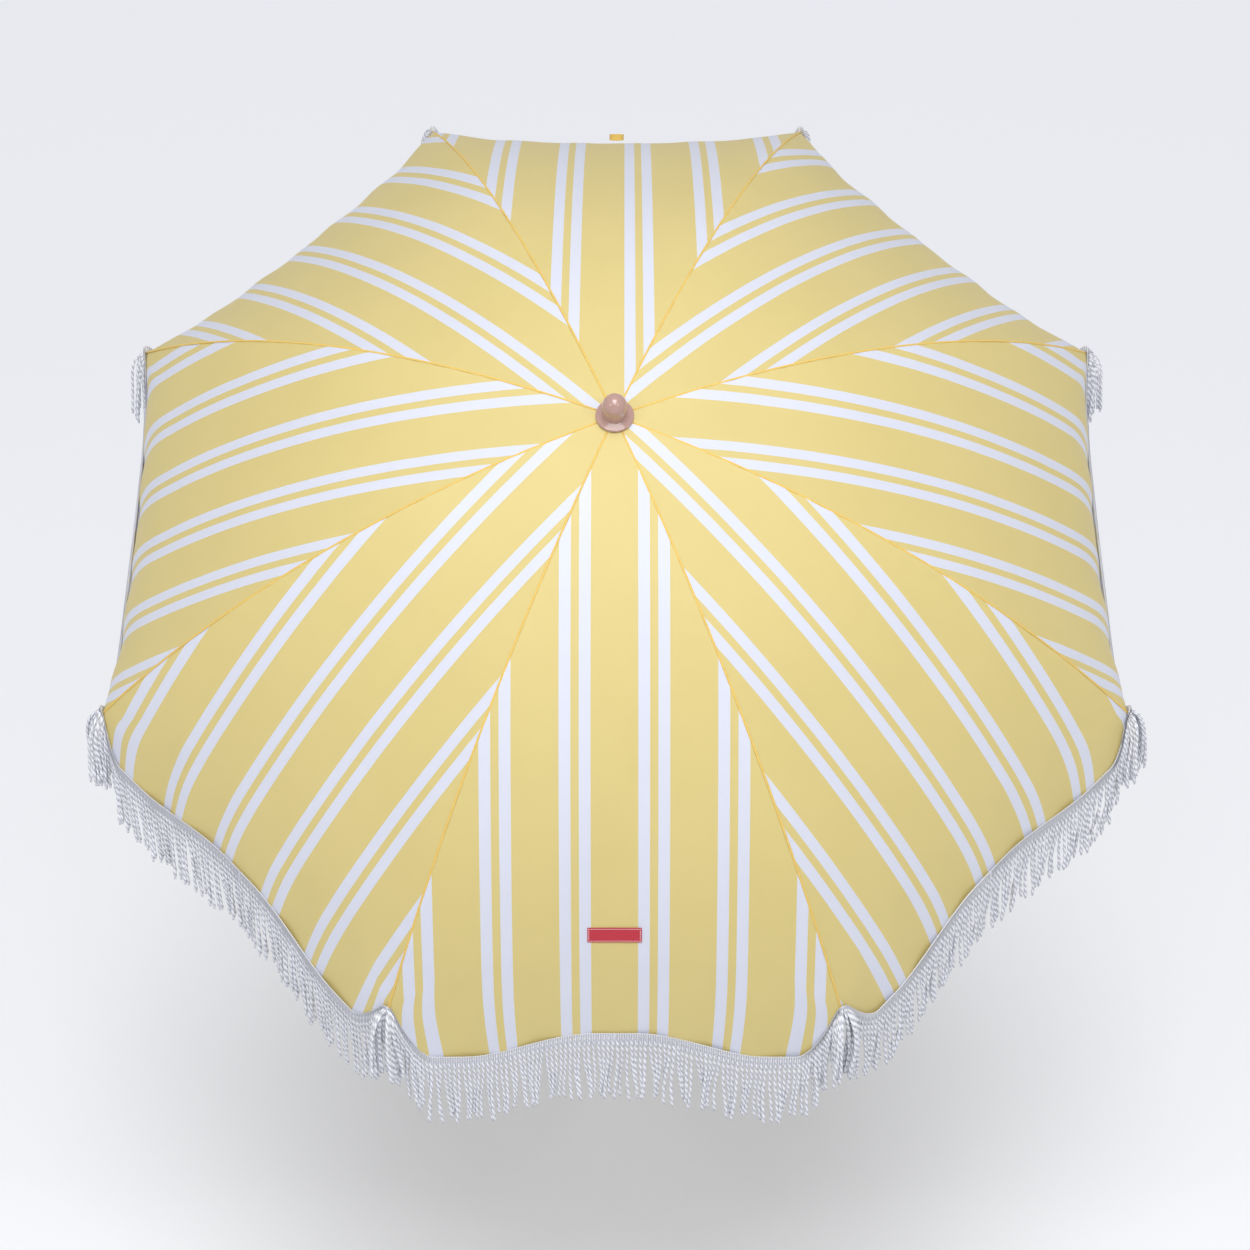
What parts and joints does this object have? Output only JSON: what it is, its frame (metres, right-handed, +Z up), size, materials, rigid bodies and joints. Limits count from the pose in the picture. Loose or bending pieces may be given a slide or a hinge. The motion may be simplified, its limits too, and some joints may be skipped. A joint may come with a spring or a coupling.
{
  "type": "beach umbrella",
  "caption": "Tilting beach umbrella with a domed striped cloth canopy, hanging cord fringe, folding ribs and stretchers, ball finial and a height-adjustable pole.",
  "frame": {"origin": "foot of the lower pole, on its axis, at the shoulder above the ground spike", "axes": "+Z up along the lower pole; the canopy leans towards -Y, which is its front; X across"},
  "size_m": [1.6816, 1.3816, 2.0625],
  "materials": {
    "pole": "wood-look lacquer, satin",
    "black_plastic": "moulded, matt",
    "white_plastic": "moulded, satin",
    "cast_joint": "die-cast, satin",
    "steel": "zinc plated",
    "finial": "moulded, glossy",
    "rib_steel": "white powder coat",
    "canopy_cloth": "printed plain weave, matt",
    "fringe_cotton": "twisted cotton cord",
    "label_red": "woven, fine",
    "tape": "woven tape"
  },
  "bodies": {
    "root": {"ground_spike": "black_plastic", "lower_pole": "pole", "lock_collar": "white_plastic"},
    "lock_knob": {"lock_knob": "black_plastic"},
    "inner_pole": {"inner_pole": "pole", "tilt_clevis": "cast_joint", "tilt_pin": "steel"},
    "mast": {"mast": "pole", "tilt_tongue": "cast_joint", "hub": "white_plastic", "hub_ring": "steel", "finial": "finial", "finial_screw": "steel"},
    "tilt_button": {"tilt_button": "black_plastic"},
    "runner": {"runner": "white_plastic"},
    "rib_1": {"rib_1": "rib_steel", "rib_tip_1": "white_plastic", "canopy_gore_1": "canopy_cloth", "fringe_1": "fringe_cotton"},
    "stretcher_1": {"stretcher_1": "rib_steel"},
    "rib_2": {"rib_2": "rib_steel", "rib_tip_2": "white_plastic", "canopy_gore_2": "canopy_cloth", "fringe_2": "fringe_cotton", "tie_strap": "tape"},
    "stretcher_2": {"stretcher_2": "rib_steel"},
    "rib_3": {"rib_3": "rib_steel", "rib_tip_3": "white_plastic", "canopy_gore_3": "canopy_cloth", "fringe_3": "fringe_cotton"},
    "stretcher_3": {"stretcher_3": "rib_steel"},
    "rib_4": {"rib_4": "rib_steel", "rib_tip_4": "white_plastic", "canopy_gore_4": "canopy_cloth", "fringe_4": "fringe_cotton"},
    "stretcher_4": {"stretcher_4": "rib_steel"},
    "rib_5": {"rib_5": "rib_steel", "rib_tip_5": "white_plastic", "canopy_gore_5": "canopy_cloth", "fringe_5": "fringe_cotton"},
    "stretcher_5": {"stretcher_5": "rib_steel"},
    "rib_6": {"rib_6": "rib_steel", "rib_tip_6": "white_plastic", "canopy_gore_6": "canopy_cloth", "fringe_6": "fringe_cotton"},
    "stretcher_6": {"stretcher_6": "rib_steel"},
    "rib_7": {"rib_7": "rib_steel", "rib_tip_7": "white_plastic", "canopy_gore_7": "canopy_cloth", "fringe_7": "fringe_cotton", "label": "label_red"},
    "stretcher_7": {"stretcher_7": "rib_steel"},
    "rib_8": {"rib_8": "rib_steel", "rib_tip_8": "white_plastic", "canopy_gore_8": "canopy_cloth", "fringe_8": "fringe_cotton"},
    "stretcher_8": {"stretcher_8": "rib_steel"}
  },
  "joints": [
    {"name": "lock_knob_turn", "type": "hinge", "parent": "root", "child": "lock_knob", "pos_m": [0, 0, 0.73], "axis": [-1, 0, 0], "range_deg": [0, 270]},
    {"name": "height_slide", "type": "slide", "parent": "root", "child": "inner_pole", "axis": [0, 0, 1], "range_m": [0, 0.3]},
    {"name": "tilt", "type": "hinge", "parent": "inner_pole", "child": "mast", "pos_m": [0, 0, 0.85], "axis": [-1, 0, 0], "range_deg": [0, 35]},
    {"name": "tilt_button_press", "type": "slide", "parent": "mast", "child": "tilt_button", "axis": [0, 0.8192, 0.5736], "range_m": [0, 0.003], "stiffness_N_per_m": 600},
    {"name": "runner_slide", "type": "slide", "parent": "mast", "child": "runner", "axis": [0, 0.5736, -0.8192], "range_m": [0, 0.65051], "deforming": ["canopy_gore_1", "canopy_gore_2", "canopy_gore_3", "canopy_gore_4", "canopy_gore_5", "canopy_gore_6", "canopy_gore_7", "canopy_gore_8", "fringe_1", "fringe_2", "fringe_3", "fringe_4", "fringe_5", "fringe_6", "fringe_7", "fringe_8", "label", "tie_strap"]},
    {"name": "rib_1_fold", "type": "hinge", "parent": "mast", "child": "rib_1", "pos_m": [0.0231, -0.65178, 1.79751], "axis": [-0.3827, 0.7568, 0.5299], "range_deg": [0, 65.03]},
    {"name": "rib_2_fold", "type": "hinge", "parent": "mast", "child": "rib_2", "pos_m": [0.00957, -0.64069, 1.80527], "axis": [-0.9239, 0.3135, 0.2195], "range_deg": [0, 65.03]},
    {"name": "rib_3_fold", "type": "hinge", "parent": "mast", "child": "rib_3", "pos_m": [-0.00957, -0.64069, 1.80527], "axis": [-0.9239, -0.3135, -0.2195], "range_deg": [0, 65.03]},
    {"name": "rib_4_fold", "type": "hinge", "parent": "mast", "child": "rib_4", "pos_m": [-0.0231, -0.65178, 1.79751], "axis": [-0.3827, -0.7568, -0.5299], "range_deg": [0, 65.03]},
    {"name": "rib_5_fold", "type": "hinge", "parent": "mast", "child": "rib_5", "pos_m": [-0.0231, -0.66745, 1.78654], "axis": [0.3827, -0.7568, -0.5299], "range_deg": [0, 65.03]},
    {"name": "rib_6_fold", "type": "hinge", "parent": "mast", "child": "rib_6", "pos_m": [-0.00957, -0.67853, 1.77878], "axis": [0.9239, -0.3135, -0.2195], "range_deg": [0, 65.03]},
    {"name": "rib_7_fold", "type": "hinge", "parent": "mast", "child": "rib_7", "pos_m": [0.00957, -0.67853, 1.77878], "axis": [0.9239, 0.3135, 0.2195], "range_deg": [0, 65.03]},
    {"name": "rib_8_fold", "type": "hinge", "parent": "mast", "child": "rib_8", "pos_m": [0.0231, -0.66745, 1.78654], "axis": [0.3827, 0.7568, 0.5299], "range_deg": [0, 65.03]},
    {"name": "stretcher_1_pivot", "type": "hinge", "parent": "rib_1", "child": "stretcher_1", "pos_m": [0.40271, -0.4761, 1.82077], "axis": [0.3827, -0.7568, -0.5299], "range_deg": [0, 130.07]},
    {"name": "stretcher_2_pivot", "type": "hinge", "parent": "rib_2", "child": "stretcher_2", "pos_m": [0.16681, -0.28286, 1.95608], "axis": [0.9239, -0.3135, -0.2195], "range_deg": [0, 130.07]},
    {"name": "stretcher_3_pivot", "type": "hinge", "parent": "rib_3", "child": "stretcher_3", "pos_m": [-0.16681, -0.28286, 1.95608], "axis": [0.9239, 0.3135, 0.2195], "range_deg": [0, 130.07]},
    {"name": "stretcher_4_pivot", "type": "hinge", "parent": "rib_4", "child": "stretcher_4", "pos_m": [-0.40271, -0.4761, 1.82077], "axis": [0.3827, 0.7568, 0.5299], "range_deg": [0, 130.07]},
    {"name": "stretcher_5_pivot", "type": "hinge", "parent": "rib_5", "child": "stretcher_5", "pos_m": [-0.40271, -0.74939, 1.62941], "axis": [-0.3827, 0.7568, 0.5299], "range_deg": [0, 130.07]},
    {"name": "stretcher_6_pivot", "type": "hinge", "parent": "rib_6", "child": "stretcher_6", "pos_m": [-0.16681, -0.94263, 1.49411], "axis": [-0.9239, 0.3135, 0.2195], "range_deg": [0, 130.07]},
    {"name": "stretcher_7_pivot", "type": "hinge", "parent": "rib_7", "child": "stretcher_7", "pos_m": [0.16681, -0.94263, 1.49411], "axis": [-0.9239, -0.3135, -0.2195], "range_deg": [0, 130.07]},
    {"name": "stretcher_8_pivot", "type": "hinge", "parent": "rib_8", "child": "stretcher_8", "pos_m": [0.40271, -0.74939, 1.62941], "axis": [-0.3827, -0.7568, -0.5299], "range_deg": [0, 130.07]}
  ],
  "couplings": [
    {"joint": "rib_1_fold", "follows": "runner_slide", "rad_per_m": 1.7446},
    {"joint": "rib_2_fold", "follows": "runner_slide", "rad_per_m": 1.7446},
    {"joint": "rib_3_fold", "follows": "runner_slide", "rad_per_m": 1.7446},
    {"joint": "rib_4_fold", "follows": "runner_slide", "rad_per_m": 1.7446},
    {"joint": "rib_5_fold", "follows": "runner_slide", "rad_per_m": 1.7446},
    {"joint": "rib_6_fold", "follows": "runner_slide", "rad_per_m": 1.7446},
    {"joint": "rib_7_fold", "follows": "runner_slide", "rad_per_m": 1.7446},
    {"joint": "rib_8_fold", "follows": "runner_slide", "rad_per_m": 1.7446},
    {"joint": "stretcher_1_pivot", "follows": "runner_slide", "rad_per_m": 3.4892},
    {"joint": "stretcher_2_pivot", "follows": "runner_slide", "rad_per_m": 3.4892},
    {"joint": "stretcher_3_pivot", "follows": "runner_slide", "rad_per_m": 3.4892},
    {"joint": "stretcher_4_pivot", "follows": "runner_slide", "rad_per_m": 3.4892},
    {"joint": "stretcher_5_pivot", "follows": "runner_slide", "rad_per_m": 3.4892},
    {"joint": "stretcher_6_pivot", "follows": "runner_slide", "rad_per_m": 3.4892},
    {"joint": "stretcher_7_pivot", "follows": "runner_slide", "rad_per_m": 3.4892},
    {"joint": "stretcher_8_pivot", "follows": "runner_slide", "rad_per_m": 3.4892}
  ]
}
